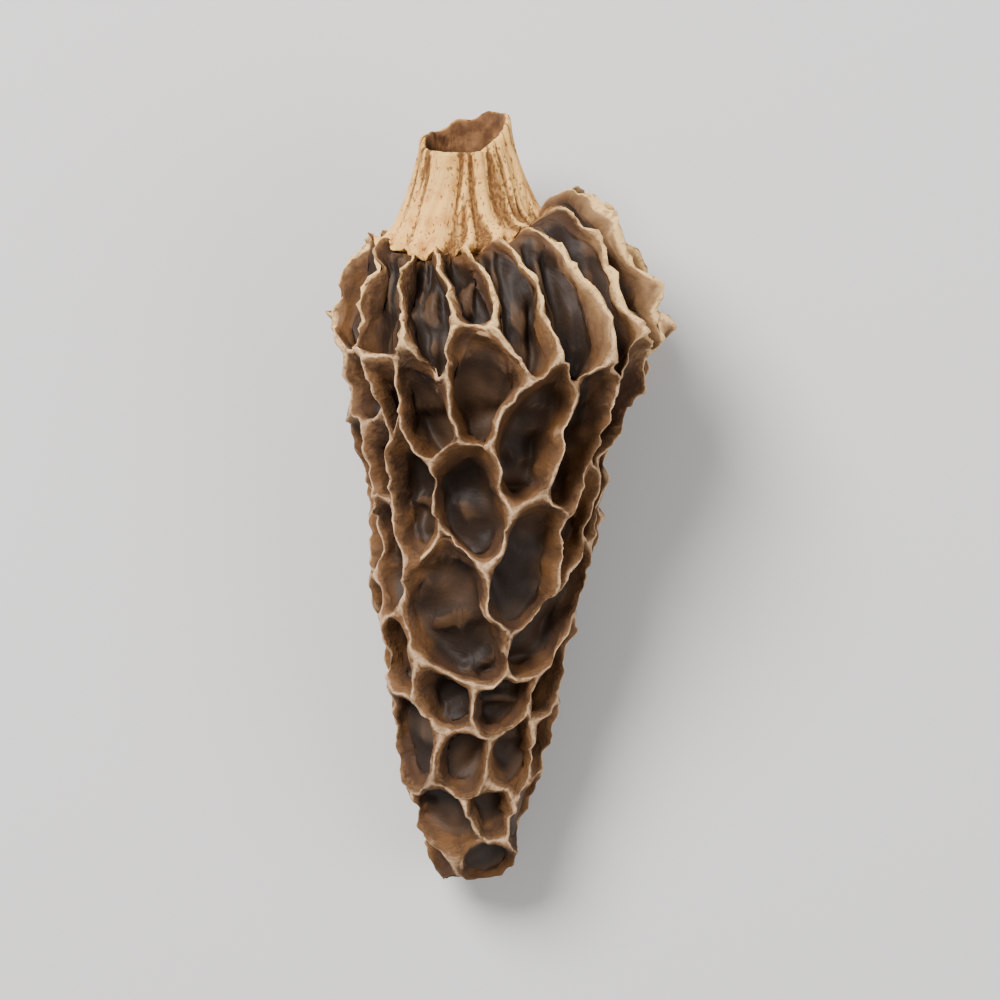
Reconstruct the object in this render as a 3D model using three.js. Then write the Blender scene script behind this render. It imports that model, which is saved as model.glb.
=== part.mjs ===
// A dried black morel (Morchella), lying on its side.
//
// A morel grows as one piece: a hollow stem that runs on into a hollow cap. The cap carries a net of
// thin upright ridges with deep pits between them. Drying shrinks the flesh, so the ridges stand out as
// wavy blades, the cap bends a little, and the side it lies on is pressed flat. The stem is cut short.
//
// Millimetres, +Z up. The long axis lies along Y, the cut stem at +Y and the tip at -Y. The origin is
// the middle of the footprint, on the surface that the mushroom lies on.
//
// How it is made: the net is first drawn flat on a disc, with the tip of the cap at the centre and the
// foot of the stem round the edge. Each closed loop of the net is one pit. The flat net is then wrapped
// round the cap, every pit is sunk below its ridges, and the edge of the net is carried on up the stem,
// over the cut mouth and back down inside as the wall of the hollow.

import * as THREE from "three";

// ---- Cap --------------------------------------------------------------------------------------------
// Bezier outlines, as points (height above the tip, radius). The flank runs from the tip to where the cap
// is widest, and the shoulder from there in to the foot of the stem. One outline passes through the tops
// of the ridges, and the other through the floors of the pits.
const WIDEST = 49.5;
const STEM_FOOT = 54.5;
const RIDGE_TOPS = {
  flank: [[0, 0], [0, 9.3], [36, 7], [WIDEST, 15.4]],
  shoulder: [[WIDEST, 15.4], [51.2, 15.9], [55, 10.8], [STEM_FOOT, 6.4]],
};
const PIT_FLOORS = {
  flank: [[2, 0], [2, 6.9], [34.5, 3.6], [47, 10.8]],
  shoulder: [[47, 10.8], [48.7, 11.2], [51.6, 8.3], [52.6, 5.7]],
};
const SHOULDER_AT = 0.83; // share of the skin's length

// The shoulder swells up past the foot of the stem on both flanks, and more towards +X.
const SWELL_ON_FLANKS = 4.5;
const SWELL_TOWARDS_X = 4.2;
const SWELL_FROM = 0.83; // share of the skin's length
const SWELL_CREST = 0.955;
const SWELL_LEFT_AT_FOOT = 0.4;

// The pits, in rows from the stem down to the tip, with one more that closes the tip. `up` holds the pits
// that face up, each as [degrees round from the top, millimetres along the skin from the tip]. `more`
// pits at `distance` from the tip fill the rest of the row.
const ROWS = [
  {
    up: [[-73, 59], [-50, 59], [-27, 57.5], [-9, 60], [10, 60], [29, 56], [45, 57], [64, 58]],
    more: 8,
    distance: 59,
  },
  {
    up: [[-70, 50], [-50, 50.5], [-32, 48.5], [-5, 49.5], [25, 45], [44, 45.5], [60, 47.5]],
    more: 8,
    distance: 50.5,
  },
  { up: [[-80, 42], [-57, 42], [-34, 41.5], [-4, 42], [25, 30.5], [50, 37]], more: 8, distance: 42 },
  { up: [[-88, 34], [-64, 34], [-18, 32], [57, 28]], more: 7, distance: 34 },
  { up: [[-84, 26], [-57, 25.5], [-16, 22.5], [24, 21.5]], more: 6, distance: 25.5 },
  { up: [[-58, 17]], more: 7, distance: 17 },
  { up: [[-35, 10.5]], more: 6, distance: 10.5 },
  { up: [[-70, 5]], more: 3, distance: 5 },
];
const SCATTER_ROUND = 0.22; // of a pit's width
const SCATTER_ALONG = 1.4;
const NET_TENSION = 0.35; // how far a corner of the net is drawn towards the middle of its neighbours

// ---- Ridges and pits --------------------------------------------------------------------------------
const RIDGE_THICKNESS = 0.65;
const RIDGE_FOOT_THICKNESS = 1.6;
const CROSS_RIDGE_DROP = 0.7; // the lowest ridges that cross the cap lose this share of their height
const LOOP_STEP = 2.3; // millimetres of ridge from point to point
const FOOT_STEPS = 4; // pieces in each scallop round the foot of the stem

// A pit is a stack of rings inside its loop. Depth runs from 0 at the tops of the ridges to 1 at the
// floor. Lean is the share of the ridge's sway that the ring follows.
const EDGE = { depth: 0.03, lean: 1 };
const WALL_FOOT = { depth: 0.8, lean: 0.6 };
const FLOOR = { depth: 1, lean: 0.4 };
const MIDDLE = { depth: 0.94, lean: 0.4 };
const FLOOR_SIZE = 0.5; // of the loop
const MOST_EDGE = 0.2; // the most of a narrow pit's half width that a ridge takes up at its top
const MOST_WALL = 0.42; // and at its foot

// Unevenness, as the size and the wavelength of its waves, in millimetres, and where they start.
const BODY = { size: 0.9, wavelength: 21, phase: 1.3 };
const CREST = { size: 0.5, wavelength: 5, phase: 5.1 };
const LEAN_ROUND = { size: 0.9, wavelength: 8, phase: 0.4 };
const LEAN_ALONG = { size: 0.95, wavelength: 7, phase: 2.6 };
const CALM_FROM = 0.92; // share of the skin's length where the unevenness starts to die down
const BODY_LEFT_AT_FOOT = 0.3;

// ---- Stem -------------------------------------------------------------------------------------------
const MOUTH_HEIGHT = 67; // above the tip, at the middle of the cut
const MOUTH_RADIUS = 3.9;
const CUT_SLANT = [0.27, -0.3]; // how fast the cut climbs towards +X and towards +Z
const FLARE = 2.7; // how much wider the foot is than the mouth
const FLARE_CURVE = 1.6;
const STEM_WALL = 0.8;
const STEM_RIB = 0.4;
const STEM_RINGS = 7;
const BORE_RINGS = [1, 0.6, 0.25]; // places along the bore, from its end to the mouth
const FOOT_LIP = 0.8; // from the edge of the net up to the stem's first ring
const SKIRT = 0.03; // how far the stem's skin runs down each ridge, as a share of the skin's length

// ---- Hollow -----------------------------------------------------------------------------------------
const BORE_END = [50.5, 4.4];
const HOLLOW = [[6.5, 0], [6.5, 5], [32, 2.8], [44.5, 7.8]];
const HOLLOW_RINGS = 9;

// ---- How it lies ------------------------------------------------------------------------------------
const AXIS_HEIGHT = 4.7; // of the axis above the surface, at the tip
const AXIS_CLIMB = 0.188; // towards the stem, which itself lies level
const AXIS_BOW = 0.3;
// The axis lies across the cap at `tip` and drifts towards +X on its way to where the cap is widest. From
// the height `from` on, the shoulder bulges that way as well.
const AXIS_SWAY = { tip: -1.2, drift: 1, shoulder: 2, from: 37 };
const SECTION_SLANT = 0.18; // the cap's cross sections lean back with its axis
const UPRIGHT_FROM = 0.88; // share of the skin's length where the sections start to stand upright
const STEM_FROM = 0.84; // share of the skin's length where the axis starts to turn into the stem's
const STEM_SWAY = -1.6;
const STEM_LIFT = 0.5;

const { clamp, degToRad, lerp } = THREE.MathUtils;
const smooth = (from, to, value) => THREE.MathUtils.smoothstep(value, from, to);

const bezier = (points) => new THREE.CubicBezierCurve(...points.map(([x, y]) => new THREE.Vector2(x, y)));

// A function from a share of the skin's length to the outline's point there.
function outlineOf({ flank, shoulder }) {
  const lower = bezier(flank);
  const upper = bezier(shoulder);
  return (share) => {
    if (share < SHOULDER_AT) return lower.getPointAt(clamp(share / SHOULDER_AT, 0, 1));
    return upper.getPointAt(clamp((share - SHOULDER_AT) / (1 - SHOULDER_AT), 0, 1));
  };
}
const ridgeTops = outlineOf(RIDGE_TOPS);
const pitFloors = outlineOf(PIT_FLOORS);
const hollow = bezier(HOLLOW);
const SKIN_LENGTH = bezier(RIDGE_TOPS.flank).getLength() / SHOULDER_AT;

// A fixed draw from -1 to 1 for each whole number.
function draw(number) {
  const wave = Math.sin(number * 12.9898 + 4.1414) * 43758.5453;
  return 2 * (wave - Math.floor(wave)) - 1;
}

// Smooth unevenness, from three waves that cross in space.
const WAVES = [
  { direction: new THREE.Vector3(0.91, 0.34, 0.23), shift: 1 },
  { direction: new THREE.Vector3(-0.42, 0.83, -0.37), shift: 2.1 },
  { direction: new THREE.Vector3(0.35, -0.29, 0.89), shift: 3.7 },
];
function ripple(point, { size, wavelength, phase }) {
  const turn = (2 * Math.PI) / wavelength;
  const heightOf = ({ direction, shift }) => Math.sin(turn * direction.dot(point) + shift * phase);
  return (size * WAVES.map(heightOf).reduce((total, height) => total + height)) / WAVES.length;
}

// ---- The flat net -----------------------------------------------------------------------------------
// A point of the disc is an angle round the axis and a share of the way from the tip to the stem's foot.
const onDisc = (angle, share) => new THREE.Vector2(share * Math.cos(angle), share * Math.sin(angle));

function pitCentre(degrees, distance) {
  const angle = degToRad(degrees);
  return { angle, point: onDisc(angle, distance / SKIN_LENGTH), corners: [] };
}

function rowOfPits({ up, more, distance }, row) {
  const from = up[up.length - 1][0];
  const to = up[0][0] + 360;
  const rest = Array.from({ length: more }, (_, i) => {
    const seed = 40 * row + i;
    const place = (i + 1 + SCATTER_ROUND * draw(seed)) / (more + 1);
    return pitCentre(lerp(from, to, place), distance + SCATTER_ALONG * draw(seed + 1000));
  });
  return [...up.map(([degrees, along]) => pitCentre(degrees, along)), ...rest];
}

// Triangles that join two rows of pits, each step going on along whichever row is behind. The inner row
// may start this much before the outer one.
const HEAD_START = degToRad(12);
function joinRows(outer, inner) {
  const turn = 2 * Math.PI;
  const start = inner.findIndex((pit) => pit.angle > outer[0].angle - HEAD_START);
  const angleOf = (row, i) => row[i % row.length].angle + turn * Math.floor(i / row.length);
  const triangles = [];
  let i = 0;
  let j = start;
  while (i < outer.length || j < start + inner.length) {
    const forward = Math.abs(angleOf(outer, i + 1) - angleOf(inner, j));
    const inward = Math.abs(angleOf(inner, j + 1) - angleOf(outer, i));
    const stepOuter = j === start + inner.length || (i < outer.length && forward < inward);
    const corner = stepOuter ? outer[(i + 1) % outer.length] : inner[(j + 1) % inner.length];
    triangles.push([outer[i % outer.length], inner[j % inner.length], corner]);
    if (stepOuter) i += 1;
    else j += 1;
  }
  return triangles;
}

const sum = (points) => points.reduce((total, p) => total.add(p), new THREE.Vector2());
const midpoint = (...points) => sum(points).divideScalar(points.length);

// Draws each corner of the net towards the middle of the corners next to it, which evens out short ridges.
function pullTaut(pits) {
  const neighbours = new Map();
  for (const { corners } of pits) {
    corners.forEach((corner, i) => {
      const beside = [corners.at(i - 1), corners[(i + 1) % corners.length]];
      const found = neighbours.get(corner) ?? [];
      neighbours.set(corner, [...found, ...beside.map((other) => other.point.clone())]);
    });
  }
  for (const [corner, points] of neighbours) {
    if (!corner.atFoot) corner.point.lerp(midpoint(...points), NET_TENSION);
  }
}

// The pits, each with the corners of its loop of ridges. Three neighbouring pits share one corner.
function drawNet() {
  const rows = ROWS.map(rowOfPits);
  const apex = { angle: 0, point: new THREE.Vector2(), corners: [] };
  const addCorner = (node, ...around) => around.forEach((pit) => pit.corners.push(node));
  rows.slice(1).forEach((inner, r) => {
    for (const triangle of joinRows(rows[r], inner)) {
      addCorner({ point: midpoint(...triangle.map((pit) => pit.point)) }, ...triangle);
    }
  });
  const last = rows[rows.length - 1];
  last.forEach((pit, i) => {
    const next = last[(i + 1) % last.length];
    addCorner({ point: midpoint(pit.point, next.point, apex.point) }, pit, next, apex);
  });
  rows[0].forEach((pit, i) => {
    const next = rows[0][(i + 1) % rows[0].length];
    const angle = midpoint(pit.point, next.point).angle();
    addCorner({ point: onDisc(angle, 1 - SKIRT), atFoot: true }, pit, next);
  });
  const pits = [...rows.flat(), apex];
  for (const pit of pits) {
    const bearing = (node) => node.point.clone().sub(pit.point).angle();
    pit.corners.sort((a, b) => bearing(b) - bearing(a));
  }
  pullTaut(pits);
  return pits;
}

// ---- Wrapping ---------------------------------------------------------------------------------------
// The axis at a height above the tip. It turns into the stem's own axis over the shoulder.
function axisAt(height, share) {
  const inCap = Math.min(height, WIDEST);
  const inStem = smooth(STEM_FROM, 1, share);
  const { tip, drift, shoulder, from } = AXIS_SWAY;
  const drifted = drift * Math.sin((Math.PI / 2) * clamp(height / WIDEST, 0, 1));
  const capSway = tip + drifted + shoulder * smooth(from, WIDEST, height);
  const bow = AXIS_BOW * Math.sin((Math.PI * inCap) / WIDEST);
  const z = AXIS_HEIGHT + AXIS_CLIMB * inCap + bow + STEM_LIFT * inStem;
  return new THREE.Vector3(lerp(capSway, STEM_SWAY, inStem), height, z);
}

// Angles run round the axis from straight up towards +X.
const outwards = (angle) => new THREE.Vector3(Math.sin(angle), 0, Math.cos(angle));
const ALONG = new THREE.Vector3(0, 1, 0);

function swell(angle, share) {
  const side = Math.sin(angle);
  const height = SWELL_ON_FLANKS * side ** 2 + SWELL_TOWARDS_X * (0.5 + 0.5 * side);
  const lost = (1 - SWELL_LEFT_AT_FOOT) * smooth(SWELL_CREST, 1, share);
  return height * smooth(SWELL_FROM, SWELL_CREST, share) * (1 - lost);
}

// A point at an angle round one of the cap's outlines, before any unevenness.
function onSection(angle, share, { x: height, y: radius }) {
  const out = outwards(angle);
  const slant = SECTION_SLANT * (1 - smooth(UPRIGHT_FROM, 1, share));
  const point = axisAt(height, share).addScaledVector(out, radius);
  point.y += swell(angle, share) - slant * out.z * radius;
  return point;
}

const shareOf = (flat) => flat.length();
const angleOf = (flat) => Math.atan2(flat.y, flat.x);

// A flat point's place in space. A ridge leans because its top sways more than its foot.
function wrap(flat, depth, lean) {
  const angle = angleOf(flat);
  const share = shareOf(flat);
  const top = onSection(angle, share, ridgeTops(share));
  const floor = onSection(angle, share, pitFloors(share));
  const out = outwards(angle);
  const round = new THREE.Vector3(out.z, 0, -out.x);
  const lively = 1 - smooth(CALM_FROM, 1, share);
  const bulge = lerp(BODY_LEFT_AT_FOOT, 1, lively) * ripple(top, BODY);
  const crest = (1 - depth) * lively * ripple(top, CREST);
  const sway = lively * lean;
  return top
    .clone()
    .lerp(floor, depth)
    .addScaledVector(out, bulge + crest)
    .addScaledVector(round, sway * ripple(top, LEAN_ROUND))
    .addScaledVector(ALONG, sway * ripple(top, LEAN_ALONG));
}

// Millimetres round and along the cap from a pit's centre to a flat point, and back.
function measureAt(centre) {
  const share = shareOf(centre);
  const along = share > 0 ? centre.clone().normalize() : new THREE.Vector2(1, 0);
  const round = new THREE.Vector2(-along.y, along.x);
  const roundScale = share > 0 ? ridgeTops(share).y / share : SKIN_LENGTH;
  const from = (flat) => {
    const d = flat.clone().sub(centre);
    return new THREE.Vector2(d.dot(round) * roundScale, d.dot(along) * SKIN_LENGTH);
  };
  const to = (mm) => {
    const across = round.clone().multiplyScalar(mm.x / roundScale);
    return centre.clone().add(across).addScaledVector(along, mm.y / SKIN_LENGTH);
  };
  return { from, to };
}

// ---- The surface ------------------------------------------------------------------------------------
const vertices = [];
const faces = [];
const addVertex = (point) => vertices.push(point) - 1;

// Two triangles for each step between two rings of the same length, the first ring on the left.
function bridge(left, right) {
  left.forEach((vertex, i) => {
    const next = (i + 1) % left.length;
    faces.push([vertex, left[next], right[next]], [vertex, right[next], right[i]]);
  });
}

function fan(ring, centre) {
  ring.forEach((vertex, i) => faces.push([vertex, ring[(i + 1) % ring.length], centre]));
}

// The points of one ridge between two corners, shared by the pits on its two sides.
const ridges = new Map();
let cornerCount = 0;
function numberOf(corner) {
  corner.number ??= cornerCount++;
  return corner.number;
}

function ridgeBetween(a, b, measure) {
  const [first, second] = numberOf(a) < numberOf(b) ? [a, b] : [b, a];
  const key = first.number + " " + second.number;
  if (!ridges.has(key)) ridges.set(key, makeRidge(first, second, measure));
  const between = ridges.get(key);
  return first === a ? between : [...between].reverse();
}

function makeRidge(first, second, measure) {
  const atFoot = first.atFoot && second.atFoot;
  const span = measure.from(second.point).sub(measure.from(first.point));
  const steps = atFoot ? FOOT_STEPS : Math.max(1, Math.round(span.length() / LOOP_STEP));
  const crosses = !atFoot && Math.abs(span.x) > Math.abs(span.y);
  const chance = 0.5 + 0.5 * draw(first.number * 7 + second.number);
  const lowness = crosses ? CROSS_RIDGE_DROP * chance : 0;
  return Array.from({ length: steps - 1 }, (_, i) => {
    const t = (i + 1) / steps;
    const point = first.point.clone().lerp(second.point, t);
    const bulge = Math.sin(Math.PI * t);
    if (atFoot) point.setLength(1 - SKIRT * (1 - bulge));
    return { point, atFoot, drop: lowness * bulge };
  });
}

function topVertex(node) {
  node.vertex ??= addVertex(wrap(node.point, node.drop ?? 0, 1));
  return node.vertex;
}

// The loop of ridges round a pit, and how to place rings inside it.
function loopOf(pit) {
  const centre = midpoint(...pit.corners.map((corner) => corner.point));
  const measure = measureAt(centre);
  const nodes = pit.corners.flatMap((corner, i) => {
    const next = pit.corners[(i + 1) % pit.corners.length];
    return [corner, ...ridgeBetween(corner, next, measure)];
  });
  const places = nodes.map((node) => measure.from(node.point));
  const halfWidth = Math.max(...places.map((mm) => Math.abs(mm.x)));
  const halfLength = Math.max(...places.map((mm) => Math.abs(mm.y)));
  const ring = (inset, { depth, lean }) =>
    nodes.map((node, i) => {
      const flat = measure.to(inset(places[i], i));
      return addVertex(wrap(flat, Math.max(depth, node.drop ?? 0), lean));
    });
  return { centre, nodes, places, narrow: Math.min(halfWidth, halfLength), ring };
}

// One pit: the tops of its ridges, the edges of the tops, the foot of the walls, and the floor.
function sinkPit(pit) {
  const { centre, nodes, places, narrow, ring } = loopOf(pit);
  const offRidge = (place, i) => {
    const before = places.at(i - 1);
    const after = places[(i + 1) % places.length];
    const inward = new THREE.Vector2(before.y - after.y, after.x - before.x);
    return place.clone().add(inward.setLength(Math.min(RIDGE_THICKNESS / 2, MOST_EDGE * narrow)));
  };
  const scaled = (size) => (place) => place.clone().multiplyScalar(size);
  const top = nodes.map(topVertex);
  const edge = ring(offRidge, EDGE);
  const foot = ring(scaled(1 - Math.min(RIDGE_FOOT_THICKNESS / 2 / narrow, MOST_WALL)), WALL_FOOT);
  const floor = ring(scaled(FLOOR_SIZE), FLOOR);
  bridge(top, edge);
  bridge(edge, foot);
  bridge(foot, floor);
  fan(floor, addVertex(wrap(centre, MIDDLE.depth, MIDDLE.lean)));
}

// ---- Stem and hollow --------------------------------------------------------------------------------
const around = (angle, height, radius) => axisAt(height, 1).addScaledVector(outwards(angle), radius);
const radiusAt = (t) => MOUTH_RADIUS + FLARE * (1 - t) ** FLARE_CURVE;

function mouthAt(angle) {
  const out = outwards(angle).multiplyScalar(MOUTH_RADIUS);
  return MOUTH_HEIGHT + CUT_SLANT[0] * out.x + CUT_SLANT[1] * out.z;
}

// The edge of the net, carried up the stem, over the cut and down inside to the end of the hollow.
function raiseStem(rim) {
  let last = rim.map((node) => node.vertex);
  const carryOn = (place) => {
    const ring = rim.map((node) => addVertex(place(angleOf(node.point), node)));
    bridge(last, ring);
    last = ring;
  };
  for (let k = 0; k <= STEM_RINGS; k += 1) {
    const t = k / STEM_RINGS;
    carryOn((angle, node) => {
      const rib = STEM_RIB * (1 - 0.5 * t) * draw(node.vertex);
      const footAt = STEM_FOOT + swell(angle, 1) + FOOT_LIP;
      return around(angle, lerp(footAt, mouthAt(angle), t), radiusAt(t) + rib);
    });
  }
  for (const t of BORE_RINGS) {
    carryOn((angle) => around(angle, lerp(BORE_END[0], mouthAt(angle), t), radiusAt(t) - STEM_WALL));
  }
  carryOn((angle) => around(angle, ...BORE_END));
  for (let k = HOLLOW_RINGS; k > 0; k -= 1) {
    const t = k / HOLLOW_RINGS;
    carryOn((angle) => onSection(angle, t * SHOULDER_AT, hollow.getPointAt(t)));
  }
  fan(last, addVertex(axisAt(HOLLOW[0][0], 0)));
}

// The nodes round the foot of the stem, from the pits of the first row.
function footOfStem(pits) {
  return pits.flatMap((pit) => {
    const [a, b] = pit.corners.filter((node) => node.atFoot);
    const [from, to] = pit.point.cross(a.point) < 0 ? [a, b] : [b, a];
    return [from, ...ridgeBetween(from, to, null)];
  });
}

function buildSurface() {
  const pits = drawNet();
  pits.forEach(sinkPit);
  raiseStem(footOfStem(pits.slice(0, ROWS[0].up.length + ROWS[0].more)));
}

// The side it lies on is pressed flat against the surface.
const press = (point) => point.setZ(Math.max(point.z, 0));

buildSurface();
const geometry = new THREE.BufferGeometry();
geometry.setFromPoints(vertices.map(press));
geometry.setIndex(faces.flat());
geometry.computeBoundingBox();
const middle = geometry.boundingBox.getCenter(new THREE.Vector3());
geometry.translate(-middle.x, -middle.y, 0);
geometry.computeVertexNormals();

const flesh = new THREE.MeshStandardMaterial({ color: 0x6b523a, roughness: 0.8, metalness: 0 });
const morel = new THREE.Mesh(geometry, flesh);
morel.name = "morel";

const mushroom = new THREE.Group();
mushroom.add(morel);
export default mushroom;
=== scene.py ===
import math

import bmesh
import bpy
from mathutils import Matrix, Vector, noise


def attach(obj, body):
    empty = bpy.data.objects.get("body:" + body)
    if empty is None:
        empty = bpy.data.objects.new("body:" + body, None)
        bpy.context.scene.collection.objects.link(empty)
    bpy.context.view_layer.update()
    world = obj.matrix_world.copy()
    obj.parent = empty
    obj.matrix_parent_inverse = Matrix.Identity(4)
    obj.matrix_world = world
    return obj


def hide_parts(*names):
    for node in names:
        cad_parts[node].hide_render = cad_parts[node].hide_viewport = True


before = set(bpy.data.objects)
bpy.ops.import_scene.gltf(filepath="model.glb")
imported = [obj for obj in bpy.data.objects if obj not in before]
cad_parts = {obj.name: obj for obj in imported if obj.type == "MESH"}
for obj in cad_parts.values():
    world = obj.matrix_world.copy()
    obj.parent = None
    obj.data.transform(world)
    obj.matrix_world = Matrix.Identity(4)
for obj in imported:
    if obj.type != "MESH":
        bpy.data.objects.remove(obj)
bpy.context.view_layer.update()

# ---- The morel's flesh ------------------------------------------------------------------------------
# One grown piece: a hollow stem that runs on into a hollow cap, whose skin stands up in a net of thin
# ridges round deep pits. Drying has drawn it tight, so the crests are crinkled and torn, the pits are
# wrinkled and crossed by low folds, and the stem is fluted down to a scalloped foot.
MM = 0.001
MERGE_WITHIN = 0.001 * MM
STEM_AXIS = Vector((-3.06, 0, 14.5)) * MM
SMOOTHING = 0.6  # of the way to the middle of a point's neighbours, in one pass


def smooth(low, high, value):
    """Rises from 0 to 1 as the value goes from low to high, level at both ends."""
    t = min(max((value - low) / (high - low), 0), 1)
    return t * t * (3 - 2 * t)


def from_stem_axis(point):
    """The way out from the stem's axis to a point, square to it."""
    return Vector((point.x - STEM_AXIS.x, 0, point.z - STEM_AXIS.z))


def levelled(mesh, passes):
    """A copy of a mesh with its relief smoothed away."""
    calm = mesh.copy()
    for _ in range(passes):
        bmesh.ops.smooth_vert(
            calm, verts=calm.verts, factor=SMOOTHING, use_axis_x=True, use_axis_y=True, use_axis_z=True
        )
    calm.normal_update()
    return calm


flesh = bmesh.new()
flesh.from_mesh(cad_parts["morel"].data)
bmesh.ops.remove_doubles(flesh, verts=flesh.verts, dist=MERGE_WITHIN)

# The flesh is made of rings of points. They rise from the floor of each pit over the foot of its wall
# and the edge of the ridge to the crest, and then run up the stem, over its rim, and down the hollow to
# its blind end. A ring's number is its steps from the floor. Five edges meet at each point round the
# middle of a floor. So they do round the blind end, but far more meet there than anywhere else.
FLOOR, WALL_FOOT, RIDGE_EDGE, CREST, STEM_FOOT = range(5)
RIM = 11
FLOOR_EDGES = 5
MOST_EDGES = 40


def ring_numbers(mesh):
    meeting = {vert: len(vert.link_edges) for vert in mesh.verts}
    beside = {vert: [edge.other_vert(vert) for edge in vert.link_edges] for vert in mesh.verts}
    number = {}
    for vert in mesh.verts:
        at_blind_end = any(meeting[other] > MOST_EDGES for other in beside[vert] + [vert])
        in_middle = all(meeting[other] == FLOOR_EDGES for other in beside[vert])
        if not at_blind_end and (meeting[vert] == FLOOR_EDGES or in_middle):
            number[vert] = FLOOR
    reached = list(number)
    for vert in reached:
        for other in beside[vert]:
            if other not in number:
                number[other] = number[vert] + 1
                reached.append(other)
    return number


# Each point keeps its height, from 0 on the floor of a pit to 1 on the crest, a little less where ridges
# meet. It also keeps whether it is on the stem, on the skirt round the stem's foot or inside the hollow,
# and which way leads away from the middle of the morel, square to the skin without its relief.
HEIGHT_OF_RING = (0, 0.25, 0.82, 1)
JUNCTION_HEIGHT = 0.96
JUNCTION_DIP = 0.15 * MM
LEVELLING_PASSES = 30

height = flesh.verts.layers.float.new("height")
stem = flesh.verts.layers.float.new("stem")
skirt = flesh.verts.layers.float.new("skirt")
inside = flesh.verts.layers.float.new("inside")
away = flesh.verts.layers.float_vector.new("away")
level = levelled(flesh, LEVELLING_PASSES)
for vert, mean in zip(flesh.verts, level.verts):
    vert[away] = mean.normal
level.free()
rings = ring_numbers(flesh)
for vert, ring in rings.items():
    rings_beside = [rings[edge.other_vert(vert)] for edge in vert.link_edges]
    vert[height] = HEIGHT_OF_RING[min(ring, CREST)]
    vert[stem] = 1.0 if ring >= CREST and max(rings_beside) >= STEM_FOOT else 0.0
    vert[skirt] = 1.0 if vert[stem] and ring <= STEM_FOOT else 0.0
    vert[inside] = 1.0 if ring > RIM else 0.0
    if ring == CREST and rings_beside.count(CREST) > 2:
        vert[height] = JUNCTION_HEIGHT
        vert.co -= vert[away].normalized() * JUNCTION_DIP

# Dried walls are thinner and steeper than the solid's, so the rings below the crest are drawn in to it,
# each by its own share of the way, and the edge of the ridge also drops.
DRAWN_IN = {FLOOR: 0.18, WALL_FOOT: 0.34, RIDGE_EDGE: 0.08}
EDGE_DROP = 0.3 * MM

crest_above = {vert: vert for vert, ring in rings.items() if ring == CREST}
for ring in (RIDGE_EDGE, WALL_FOOT, FLOOR):
    for vert in [vert for vert, number in rings.items() if number == ring]:
        higher = [edge.other_vert(vert) for edge in vert.link_edges]
        higher = [other for other in higher if rings[other] == ring + 1 and other in crest_above]
        if higher:
            crest_above[vert] = crest_above[min(higher, key=lambda other: (other.co - vert.co).length)]
drawn = {}
for vert, top in crest_above.items():
    if rings[vert] < CREST:
        up = vert[away].normalized()
        to_crest = top.co - vert.co
        drawn[vert] = (to_crest - up * to_crest.dot(up)) * DRAWN_IN[rings[vert]]
        if rings[vert] == RIDGE_EDGE:
            drawn[vert] -= up * EDGE_DROP
for vert, move in drawn.items():
    vert.co += move

# The triangles are paired and refined into a smooth skin that keeps its crests.
CREST_SHARPNESS = 0.55
MOST_BENT_PAIR = math.radians(60)  # triangles bent by more than this stay apart
ANY_SHAPE = math.pi
REFINE_LEVELS = 2

crease = flesh.edges.layers.float.new("crease_edge")
for edge in flesh.edges:
    if all(rings[vert] == CREST for vert in edge.verts):
        edge[crease] = CREST_SHARPNESS
bmesh.ops.join_triangles(
    flesh,
    faces=flesh.faces,
    angle_face_threshold=MOST_BENT_PAIR,
    angle_shape_threshold=ANY_SHAPE,
)
skin = bpy.data.meshes.new("morel_flesh")
flesh.to_mesh(skin)
flesh.free()
morel = bpy.data.objects.new("morel_flesh", skin)
bpy.context.scene.collection.objects.link(morel)
refine = morel.modifiers.new("refine", "SUBSURF")
refine.levels = refine.render_levels = REFINE_LEVELS
bpy.context.view_layer.update()
refined = bpy.data.meshes.new_from_object(morel.evaluated_get(bpy.context.evaluated_depsgraph_get()))
morel.modifiers.clear()
morel.data = refined
bpy.data.meshes.remove(skin)

# The relief that drying leaves. A pattern is how far it moves the skin and its wavelength, both in
# millimetres, and then its shift through the noise, so that no two fall together. The first three move
# the skin in all directions and need no shift.
SWAY = (0.8, 3.6)
SHIVER = (0.32, 1.5)
CRINKLE = (0.14, 0.6)
CREST_WAVE = (0.6, 3.1, 7)
CREST_NICK = (0.35, 1.1, 9)
TEAR = (0.8, 3.8, 13)
WALL_PLEAT = (0.4, 1.9, 2)
WALL_VEIN = (0.2, 0.9, 4)
PIT_FOLD = (0.75, 5.5, 3)
PIT_WRINKLE = (0.09, 2.2, 11)
CREASE_NARROWNESS = 3
CREST_RISE = 0.1
WALL_THINNING = 0.06
SEED = 5

# In the pits of the shoulder, folds fan out from the stem: how high, how closely round it, how long in
# millimetres, and how narrow they are.
RAY_FOLD = 1.0
RAYS = 5.5
RAY_LENGTH = 20
RAY_NARROWNESS = 4

# The heights between which each kind of relief sets in or, for the last two, dies away.
SWAY_FROM = (0, 0.9)
OFF_FLOOR = (0.15, 0.5)
TORN_FROM = (0.25, 0.8)
THIN_FROM = (0.4, 0.8)
CREST_FROM = (0.6, 0.95)
CRINKLED_FROM = (0.84, 0.95)
WALL_TOP = (0.88, 1)
RAYS_END = (0.15, 0.8)

# Places along the mushroom, and the height up to which its underside is pressed flat.
SHOULDER = (6 * MM, 16 * MM)
PRESSED_UP_TO = 1.2 * MM

noise.seed_set(SEED)


def stray(point, size, wavelength):
    """A move in any direction."""
    return size * noise.noise_vector(point / (wavelength * MM))


def ripple(point, size, wavelength, shift=0):
    """A soft rise and fall."""
    return size * noise.noise(point / (wavelength * MM) + Vector((shift, 0, 0)))


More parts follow.
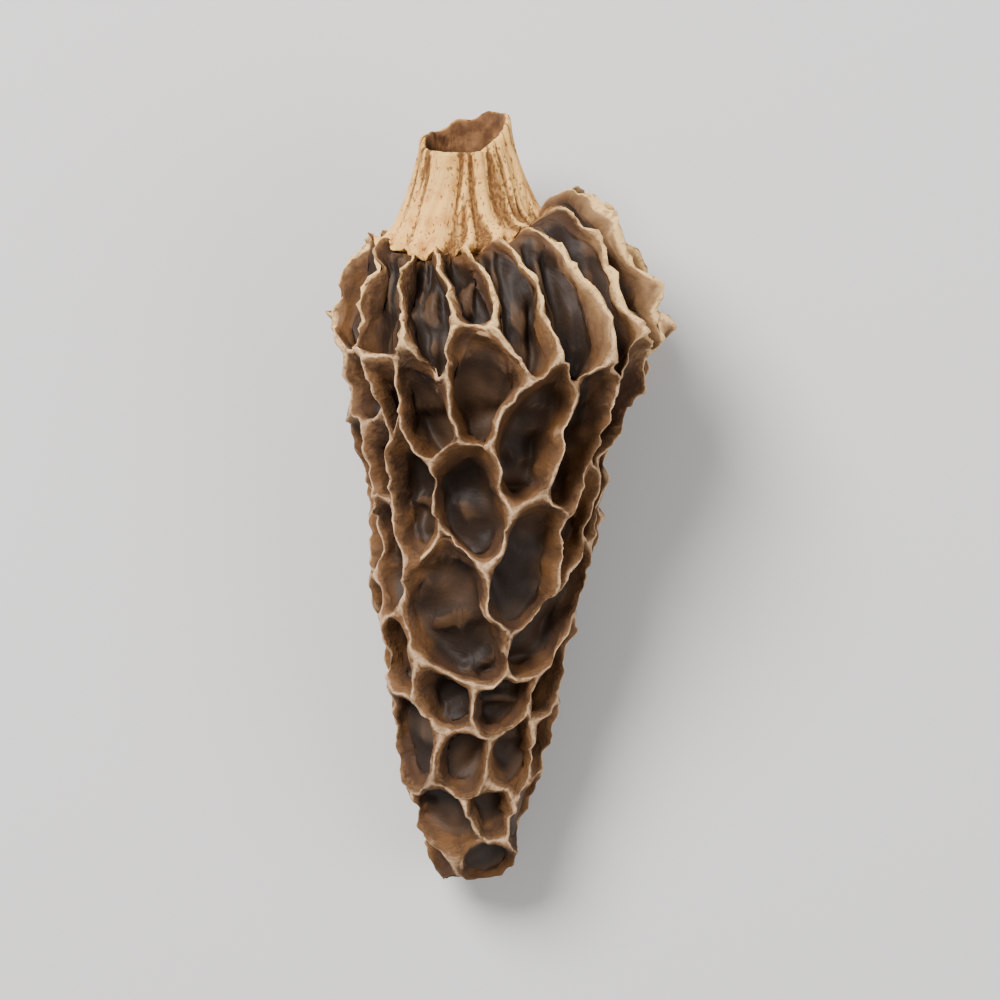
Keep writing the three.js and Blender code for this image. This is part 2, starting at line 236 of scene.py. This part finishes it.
def raised_line(value, narrowness):
    """1 where the value is 0, falling to 0 on both sides."""
    return max(1 - (narrowness * value) ** 2, 0)


def creased(point, size, wavelength, shift):
    """Narrow raised lines, from 0 to their size."""
    return size * raised_line(ripple(point, 1, wavelength, shift), CREASE_NARROWNESS)


relief = bmesh.new()
relief.from_mesh(refined)
height = relief.verts.layers.float["height"]
stem = relief.verts.layers.float["stem"]
skirt = relief.verts.layers.float["skirt"]
inside = relief.verts.layers.float["inside"]
away = relief.verts.layers.float_vector["away"]

# The crests of the cap carry the finest relief, so they alone are divided once more.
FINE_FROM = 0.9
OFF_STEM = 0.1
crests = {vert for vert in relief.verts if vert[height] > FINE_FROM and vert[stem] < OFF_STEM}
crest_edges = [edge for edge in relief.edges if crests.issuperset(edge.verts)]
bmesh.ops.subdivide_edges(relief, edges=crest_edges, cuts=1, use_grid_fill=True)

TORN_MORE = 0.8  # by this share near the stem
CREST_THINNING = 0.5  # of the wall's
PLEATS_UPRIGHT = 0.8  # the share of a point's height that their pattern leaves out, so they run up the wall
PLEATS_LOST = 0.75  # of their size, where the wall is thin
PLEATS_SUNK = 0.5  # of their size, so that they stand to both sides of the wall
FOLDS_ACROSS = (0.7, 1.7, 0.7)  # close together along the mushroom, long across it


def cap_relief(vert):
    """Crinkled and torn crests, thin pleated walls, and folds across the floors of the pits."""
    at = vert.co
    up = vert[away].normalized()
    share = vert[height]
    on_crest = smooth(*CREST_FROM, share)
    off_floor = smooth(*OFF_FLOOR, share)
    on_wall = off_floor * (1 - smooth(*WALL_TOP, share))
    near_stem = smooth(*SHOULDER, at.y)
    torn = 1 + near_stem * TORN_MORE

    move = stray(at, *SWAY) * smooth(*SWAY_FROM, share)
    move += stray(at, *SHIVER) * on_crest
    move += stray(at, *CRINKLE) * smooth(*CRINKLED_FROM, share) * torn
    rise = CREST_RISE + ripple(at, *CREST_WAVE) + ripple(at, *CREST_NICK) * torn
    move += up * rise * on_crest
    move -= up * creased(at, *TEAR) * smooth(*TORN_FROM, share) * near_stem

    move -= vert.normal * WALL_THINNING * max(on_wall, CREST_THINNING * on_crest)
    down_wall = at - up * at.dot(up) * PLEATS_UPRIGHT
    pleat = creased(down_wall, *WALL_PLEAT) + creased(down_wall, *WALL_VEIN)
    thin = smooth(*THIN_FROM, share)
    pleat = pleat * (1 - PLEATS_LOST * thin) - PLEATS_SUNK * WALL_PLEAT[0] * (1 - thin)
    move += vert.normal * pleat * on_wall

    squeezed = Vector([scale * part for scale, part in zip(FOLDS_ACROSS, at)])
    move += up * creased(squeezed, *PIT_FOLD) * (1 - off_floor)
    rays = noise.noise(from_stem_axis(at).normalized() * RAYS + Vector((0, at.y / (RAY_LENGTH * MM), 0)))
    ray = RAY_FOLD * raised_line(rays, RAY_NARROWNESS)
    move += up * ray * (1 - smooth(*RAYS_END, share)) * near_stem
    move += up * creased(at, *PIT_WRINKLE) * (1 - on_crest)
    return move


# The stem's own relief. Flutes and fibres stand round it this closely and run this far along it, in
# millimetres, and both wander round it by the twist, in radians.
FLUTE = 0.4
FLUTES = (2.6, 16)
FIBRE = 0.42
FIBRES = (8, 8)
TWIST = (0.25, 6)
FLUTES_IN_GROOVE = 0.7  # of their size, in what the colour of the grooves follows
DEEPEST_FLUTES = 1.5  # times their size, below the top of the stem
RIBS_LOST_INSIDE = 0.6  # of their size
STEM_TOP = (24 * MM, 32 * MM)

# Its foot is a lip over the tops of the ridges, and its cut rim is nicked and slumps on the upper side.
LIP = 0.55
LIP_NICK = (0.9, 1.3, 6)
CUT_RIM = (29.5 * MM, 32 * MM)
RIM_NICK = (0.5, 1.6, 5)
RIM_SLUMP = 1.5
UPPER_SIDE = (-0.2, 1)

groove = relief.verts.layers.float.new("groove")


def ribbing(circle, along, closeness, length):
    """Ribs along the stem, read at the point of a circle that stands for the way round it."""
    return noise.noise(closeness * circle + Vector((0, 0, along / (length * MM))))


def stem_relief(vert, out, angle):
    """Flutes that deepen towards the foot, fine fibres, a lip round the foot, and a nicked rim."""
    at = vert.co
    twist = angle + ripple(at, *TWIST)
    circle = Vector((math.cos(twist), math.sin(twist), 0))
    flute = ribbing(circle, at.y, *FLUTES)
    fibre = ribbing(circle, at.y, *FIBRES)
    vert[groove] = FLUTES_IN_GROOVE * flute + fibre
    deepness = DEEPEST_FLUTES - smooth(*STEM_TOP, at.y)
    ribs = (FLUTE * flute + FIBRE * fibre) * deepness * (1 - RIBS_LOST_INSIDE * min(vert[inside], 1))
    at_rim = smooth(*CUT_RIM, at.y)
    slump = RIM_SLUMP * at_rim * smooth(*UPPER_SIDE, out.z / out.length)
    nicks = ripple(at, *RIM_NICK) * at_rim + ripple(at, *LIP_NICK) * vert[skirt]
    return out.normalized() * (ribs + LIP * vert[skirt]) + Vector((0, nicks - slump, 0))


# All the moves are worked out before any is made. They die away towards the side that it lies on.
STEM_SKIN = (0.3, 0.9)

moves = []
for vert in relief.verts:
    out = from_stem_axis(vert.co)
    on_stem = smooth(*STEM_SKIN, vert[stem])
    move = cap_relief(vert) * (1 - on_stem)
    if on_stem > 0:
        move += stem_relief(vert, out, math.atan2(out.x, out.z)) * on_stem
    moves.append(move * MM * smooth(0, PRESSED_UP_TO, vert.co.z))
for vert, move in zip(relief.verts, moves):
    vert.co += move
    vert.co.z = max(vert.co.z, 0)

# How far the finished skin stands out from its own neighbourhood, in tenths of a millimetre: above 0 on
# sharp edges, below 0 in creases.
EDGE_PASSES = 5
EDGE_UNIT = 0.1 * MM

sharpness = relief.verts.layers.float.new("edge")
relief.normal_update()
calm = levelled(relief, EDGE_PASSES)
for vert, mean in zip(relief.verts, calm.verts):
    vert[sharpness] = (vert.co - mean.co).dot(vert.normal) / EDGE_UNIT
calm.free()
relief.to_mesh(refined)
relief.free()
refined.shade_smooth()

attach(morel, "root")
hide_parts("morel")


class Value:
    """A shader socket that takes part in sums, each of which adds a Math node."""

    def __init__(self, look, socket):
        self.look = look
        self.socket = socket

    def math(self, operation, *values):
        return self.look.node("ShaderNodeMath", {"operation": operation}, values)

    def __add__(self, other):
        return self.math("ADD", self, other)

    def __sub__(self, other):
        return self.math("SUBTRACT", self, other)

    def __rsub__(self, other):
        return self.math("SUBTRACT", other, self)

    def __mul__(self, other):
        return self.math("MULTIPLY", self, other)

    __radd__ = __add__
    __rmul__ = __mul__

    def swing(self, amount):
        """A grain, which is about a half on the whole, swung to both sides of 0."""
        return (self - 0.5) * amount

    def between(self, low, high, start=0, end=1):
        """Runs smoothly from start to end as the value goes from low to high."""
        settings = {"interpolation_type": "SMOOTHSTEP"}
        return self.look.node("ShaderNodeMapRange", settings, (self, low, high, start, end))


class Look:
    """One material's node tree."""

    def __init__(self, name):
        self.material = bpy.data.materials.new(name)
        self.material.use_nodes = True
        self.tree = self.material.node_tree
        self.shader = self.tree.nodes["Principled BSDF"]

    def feed(self, slot, value):
        """Links a value that changes over the surface, and sets one that doesn't."""
        if isinstance(value, Value):
            self.tree.links.new(value.socket, slot)
        else:
            slot.default_value = value

    def node(self, kind, settings, values, output=0):
        made = self.tree.nodes.new(kind)
        for name, setting in settings.items():
            setattr(made, name, setting)
        named = values if isinstance(values, dict) else dict(enumerate(values))
        for name, value in named.items():
            self.feed(made.inputs[name], value)
        return Value(self, made.outputs[output])

    def attribute(self, name, output="Fac"):
        return self.node("ShaderNodeAttribute", {"attribute_name": name}, (), output)

    def mix(self, share, first, second):
        """Two colours mixed, by way of the Mix node's colour sockets."""
        return self.node("ShaderNodeMix", {"data_type": "RGBA"}, {0: share, 6: first, 7: second}, 2)

    def vector(self, operation, values, output="Vector"):
        return self.node("ShaderNodeVectorMath", {"operation": operation}, values, output)

    def grain(self, place, size_mm, detail):
        values = {"Vector": place, "Scale": 1 / (size_mm * MM), "Detail": detail}
        return self.node("ShaderNodeTexNoise", {}, values, "Fac")


PIT_BLACK = (0.019, 0.0092, 0.0046, 1)
PIT_UMBER = (0.068, 0.034, 0.0165, 1)
WALL_BROWN = (0.062, 0.027, 0.0115, 1)
WALL_AMBER = (0.135, 0.057, 0.0165, 1)
RIDGE_TAN = (0.19, 0.092, 0.037, 1)
PAPER_TAN = (0.56, 0.33, 0.15, 1)
CREST_BROWN = (0.28, 0.15, 0.07, 1)
CREST_BEIGE = (0.68, 0.435, 0.25, 1)
CREST_CREAM = (0.95, 0.59, 0.235, 1)
STEM_CREAM = (0.98, 0.55, 0.165, 1)
STEM_TAN = (0.74, 0.35, 0.09, 1)
STEM_FLECK_AND_GROOVE_SHADE = (0.12, 0.042, 0.011, 1)
INSIDE_SHADE_BROWN = (0.27, 0.125, 0.05, 1)
INSIDE_SHADE_DARK = (0.10, 0.042, 0.016, 1)

# What the colours follow: the skin's own attributes, and grains of a few sizes, each given in
# millimetres with its detail. Streaks run up the walls, so most of a point's distance from the middle is
# left out of their pattern. Dashes are drawn out along the stem.
PATCH = (7, 2)
MOTTLE = (1.8, 4)
SPECK = (0.45, 3)
STREAK = (0.55, 3)
DASH = (0.24, 2)
STREAKS_UPRIGHT = 0.82
DASHES_ALONG = (1, 0.4, 1)

look = Look("dried_flesh")
place = look.node("ShaderNodeTexCoord", {}, (), "Object")
across = look.node("ShaderNodeSeparateXYZ", {}, (place,), "X")
along = look.node("ShaderNodeSeparateXYZ", {}, (place,), "Y")
high = look.attribute("height")
sharp = look.attribute("edge")
trunk = look.attribute("stem")
ribs = look.attribute("groove")
within = look.attribute("inside")
outwards = look.attribute("away", "Vector")
patches = look.grain(place, *PATCH)
mottle = look.grain(place, *MOTTLE)
specks = look.grain(place, *SPECK)
distance = look.vector("DOT_PRODUCT", (place, outwards), "Value")
left_out = look.vector("SCALE", {0: outwards, "Scale": distance * STREAKS_UPRIGHT})
streaks = look.grain(look.vector("SUBTRACT", (place, left_out)), *STREAK)
dashes = look.grain(look.vector("MULTIPLY", (place, DASHES_ALONG)), *DASH)

# The cap is paler and warmer towards the stem, and papery on one shoulder.
TOWARDS_STEM = (8 * MM, 20 * MM)
PAPERY_ALONG = (10 * MM, 19 * MM)
PAPERY_ACROSS = (-1 * MM, 8 * MM)
PAPERY_PATCHES = (0.3, 0.6)

by_stem = along.between(*TOWARDS_STEM)
papery = along.between(*PAPERY_ALONG) * across.between(*PAPERY_ACROSS) * patches.between(*PAPERY_PATCHES)

# The pits are near black with umber patches, and painted shade blackens them towards the stem's foot.
# The walls are brown and amber, and the crests pale with brown stains.
UMBER_PATCHES = (0.4, 0.62)
PAINTED_SHADE_BY_STEM = 0.8
AMBER_PATCHES = (0.62, 0.95)
STAINS = (0.5, 0.62)
STAIN = 0.7

# Painted shade: the umber patches fade out of the pits towards the stem's foot.
pit = look.mix(patches.between(*UMBER_PATCHES) * (1 - by_stem * PAINTED_SHADE_BY_STEM), PIT_BLACK, PIT_UMBER)
wall = look.mix((patches + mottle * 0.5).between(*AMBER_PATCHES), WALL_BROWN, WALL_AMBER)
crest = look.mix(by_stem, CREST_BEIGE, CREST_CREAM)
crest = look.mix((mottle * 0.5 + specks * 0.5).between(*STAINS) * STAIN, crest, CREST_BROWN)

# One colour gives way to the next at these heights, along a ragged border for the walls and a cleaner
# line for the crests. Sharp edges are painted pale: a painted highlight on walls and folds, and near the
# crests partly their own pale colour, partly painted highlight.
WALL_FROM = (0.15, 0.6)
TAN_FROM = (0.78, 0.96)
PAPER_FROM = (0.45, 0.95)
PAPER = 0.55
PALE_FROM = (0.915, 0.97)
HIGHLIT_EDGES = (0.5, 2)
EDGE_HIGHLIGHT = 0.3
CREST_AND_HIGHLIT_EDGES = (0.9, 2.4)
CREST_AND_HIGHLIT_FROM = (0.75, 0.9)
CREST_AND_HIGHLIGHT = 0.5

ragged = high + mottle.swing(0.15) + streaks.swing(0.3)
line = high + specks.swing(0.07) + mottle.swing(0.08) + by_stem * 0.04 + papery * 0.06
cap = look.mix(ragged.between(*WALL_FROM), pit, wall)
cap = look.mix((ragged + by_stem * 0.05).between(*TAN_FROM), cap, RIDGE_TAN)
# Painted highlight: sharp edges and folds turn ridge tan.
cap = look.mix(sharp.between(*HIGHLIT_EDGES) * EDGE_HIGHLIGHT, cap, RIDGE_TAN)
cap = look.mix(papery * ragged.between(*PAPER_FROM) * PAPER, cap, PAPER_TAN)
# Sharp edges near the crest take its colour: partly its own pale colour, partly painted highlight.
cap = look.mix(sharp.between(*CREST_AND_HIGHLIT_EDGES) * high.between(*CREST_AND_HIGHLIT_FROM) * CREST_AND_HIGHLIGHT, cap, crest)
cap = look.mix(line.between(*PALE_FROM), cap, crest)

# The stem is cream with tan clouds, painted shade down its grooves, and flecked, most of all in them.
TAN_CLOUDS = (0.45, 0.7)
SHADED_GROOVES = (-0.12, -0.38)
GROOVE_SHADE = 0.8
FLECKS = (0.555, 0.635)
FLECK = 0.75
LINING_CLOUDS = (0.35, 0.65)

stem_skin = look.mix(mottle.between(*TAN_CLOUDS), STEM_CREAM, STEM_TAN)
# Painted shade down the grooves, in the flecks' dark brown.
stem_skin = look.mix(ribs.between(*SHADED_GROOVES) * GROOVE_SHADE, stem_skin, STEM_FLECK_AND_GROOVE_SHADE)
stem_skin = look.mix((dashes - ribs * 0.2).between(*FLECKS) * FLECK, stem_skin, STEM_FLECK_AND_GROOVE_SHADE)
# Painted shade: the lining inside the hollow is brown and dark, far darker than the stem's skin.
shaded_lining = look.mix(mottle.between(*LINING_CLOUDS), INSIDE_SHADE_BROWN, INSIDE_SHADE_DARK)

# Where the cap's skin gives way to the stem's, and the stem's to the lining painted with shade.
STEM_BORDER = (0.35, 0.65)
LINING_BORDER = (0.3, 0.7)

on_stem = trunk.between(*STEM_BORDER)
skin_colour = look.mix(on_stem, cap, stem_skin)
skin_colour = look.mix(within.between(*LINING_BORDER), skin_colour, shaded_lining)
look.feed(look.shader.inputs["Base Color"], skin_colour)

# The pits have a dull gloss. The crests and the stem are matt, and their fine grain stands out more.
GLOSS = 0.28
PIT_ROUGHNESS = 0.6
CREST_ROUGHNESS = 0.8
STEM_ROUGHER = 0.1
ROUGH_FROM = (0.15, 0.8)
BUMP = 0.6
BUMP_HEIGHT = 0.35 * MM
BUMPY_FROM = (0.2, 0.9)
PIT_BUMPS = 0.35

roughness = high.between(*ROUGH_FROM, PIT_ROUGHNESS, CREST_ROUGHNESS) + on_stem * STEM_ROUGHER
bumps = (mottle * 0.3 + specks * 0.4 + streaks * 0.5) * high.between(*BUMPY_FROM, PIT_BUMPS, 1)
bump = look.node("ShaderNodeBump", {}, {"Strength": BUMP, "Distance": BUMP_HEIGHT, "Height": bumps})
look.feed(look.shader.inputs["Specular IOR Level"], GLOSS)
look.feed(look.shader.inputs["Roughness"], roughness)
look.feed(look.shader.inputs["Normal"], bump)
refined.materials.append(look.material)

# ---- Floor, light and camera ------------------------------------------------------------------------
# A pale matt table top under the mushroom, with a broad soft light high on its left and a weaker one on
# its right. The camera looks straight down.
FLOOR_SIZE = 3
FLOOR_GREY = (0.75, 0.74, 0.72, 1)
FLOOR_ROUGHNESS = 0.8
ROOM_WHITE = (1, 1, 1, 1)
ROOM_LIGHT = 0.4

bpy.ops.mesh.primitive_plane_add(size=FLOOR_SIZE)
floor = bpy.context.object
floor.name = "floor"
pale = bpy.data.materials.new("pale_floor")
pale.use_nodes = True
pale.node_tree.nodes["Principled BSDF"].inputs["Base Color"].default_value = FLOOR_GREY
pale.node_tree.nodes["Principled BSDF"].inputs["Roughness"].default_value = FLOOR_ROUGHNESS
floor.data.materials.append(pale)

world = bpy.data.worlds.new("studio")
bpy.context.scene.world = world
world.use_nodes = True
world.node_tree.nodes["Background"].inputs["Color"].default_value = ROOM_WHITE
world.node_tree.nodes["Background"].inputs["Strength"].default_value = ROOM_LIGHT


def soft_light(name, spot, size, power):
    """A round light that shines on the mushroom."""
    lamp = bpy.data.lights.new(name, "AREA")
    lamp.shape = "DISK"
    lamp.size = size
    lamp.energy = power
    light = bpy.data.objects.new(name, lamp)
    bpy.context.scene.collection.objects.link(light)
    light.location = spot
    light.rotation_euler = (-Vector(spot)).to_track_quat("-Z", "Y").to_euler()


soft_light("key_light", spot=(-0.25, 0.3, 0.45), size=0.3, power=6.3)
soft_light("fill_light", spot=(0.4, -0.1, 0.35), size=0.4, power=1.2)

EYE_HEIGHT = 0.42
AIM_HEIGHT = 15 * MM
FRAME_WIDTH = 87 * MM  # at the aim's height
SENSOR_WIDTH = 36  # millimetres
NEAREST_SEEN = 0.01

lens = bpy.data.cameras.new("camera")
camera = bpy.data.objects.new("camera", lens)
bpy.context.scene.collection.objects.link(camera)
bpy.context.scene.camera = camera
camera.location = (0, 0, EYE_HEIGHT)
lens.sensor_width = SENSOR_WIDTH
lens.lens = SENSOR_WIDTH * (EYE_HEIGHT - AIM_HEIGHT) / FRAME_WIDTH
lens.clip_start = NEAREST_SEEN
